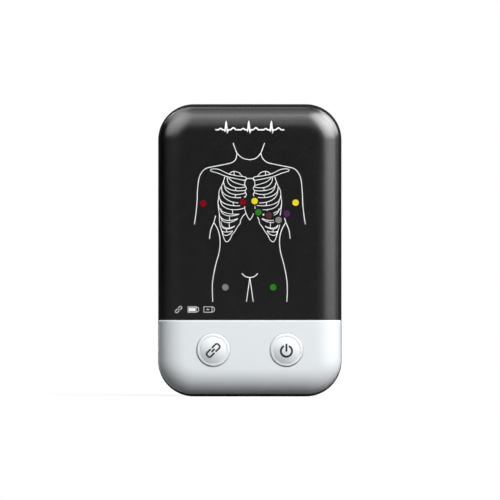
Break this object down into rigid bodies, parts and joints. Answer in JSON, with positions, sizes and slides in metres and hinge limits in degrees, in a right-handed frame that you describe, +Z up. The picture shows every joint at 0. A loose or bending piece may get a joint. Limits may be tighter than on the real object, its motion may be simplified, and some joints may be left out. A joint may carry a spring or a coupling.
{
  "type": "ecg monitor",
  "caption": "Hand-held ECG monitor: rounded casing with gloss black panel, coloured electrode windows, white lower panel with link and power buttons, lead socket on top, charging port below.",
  "frame": {"origin": "centre of the box round the part, at the base of its flat lower end", "axes": "+Z up along the length, front face towards -Y, +X to the right of someone facing the front"},
  "size_m": [0.069, 0.0252, 0.11],
  "materials": {
    "panel_black": "high gloss",
    "panel_white": "satin",
    "shell_dark": "fine grain",
    "key_white": "satin",
    "seal_soft": "matte",
    "screw_steel": "plated",
    "insert_brass": "knurled",
    "board_green": "solder mask",
    "chip_black": "moulded",
    "can_tin": "tin plated",
    "baffle_black": "matte",
    "guide_clear": "clear",
    "lamp_body": "moulded",
    "key_switch": "moulded",
    "plunger": "moulded",
    "header_cream": "moulded",
    "insulator_black": "moulded",
    "contact_gold": "gold plated",
    "cell_foil": "satin",
    "foam_grey": "foam",
    "lead_red": "insulation",
    "window_red": "tinted",
    "window_yellow": "tinted",
    "window_green": "tinted",
    "window_brown": "tinted",
    "window_grey": "tinted",
    "window_violet": "tinted"
  },
  "bodies": {
    "housing": {"upper_front_cover": "panel_black", "lower_front_cover": "panel_white", "rear_shell": "shell_dark", "perimeter_seal": "seal_soft", "housing_screws": "screw_steel", "threaded_inserts": "insert_brass", "button_seals": "seal_soft", "link_switch": "key_switch", "power_switch": "key_switch", "light_baffle": "baffle_black", "status_light_guide": "guide_clear", "electrode_lamps": "lamp_body", "status_lamps": "lamp_body", "front_board": "board_green", "front_board_screws": "screw_steel", "main_board": "board_green", "main_board_screws": "screw_steel", "board_link_plug": "header_cream", "board_link_socket": "header_cream", "front_end_chip": "chip_black", "front_end_shield": "can_tin", "processor_chip": "chip_black", "radio_board": "board_green", "radio_shield": "can_tin", "sounder": "chip_black", "lead_socket_shell": "can_tin", "lead_socket_insulator": "insulator_black", "lead_socket_contacts": "contact_gold", "lead_socket_posts": "screw_steel", "lead_socket_nuts": "screw_steel", "charging_port_shell": "can_tin", "charging_port_tongue": "insulator_black", "battery_cell": "cell_foil", "battery_pad": "foam_grey", "battery_leads": "lead_red", "battery_plug": "header_cream", "battery_header": "header_cream", "window_right_arm": "window_red", "window_left_arm": "window_yellow", "window_right_leg": "window_grey", "window_left_leg": "window_green", "window_chest_1": "window_red", "window_chest_2": "window_yellow", "window_chest_3": "window_green", "window_chest_4": "window_brown", "window_chest_5": "window_grey", "window_chest_6": "window_violet"},
    "link_button": {"link_button": "key_white", "link_switch_plunger": "plunger"},
    "power_button": {"power_button": "key_white", "power_switch_plunger": "plunger"}
  },
  "joints": [
    {"name": "link_press", "type": "slide", "parent": "housing", "child": "link_button", "axis": [0, 1, 0], "range_m": [0, 0.0005], "stiffness_N_per_m": 1500, "springref_m": -0.0005},
    {"name": "power_press", "type": "slide", "parent": "housing", "child": "power_button", "axis": [0, 1, 0], "range_m": [0, 0.0005], "stiffness_N_per_m": 1500, "springref_m": -0.0005}
  ]
}
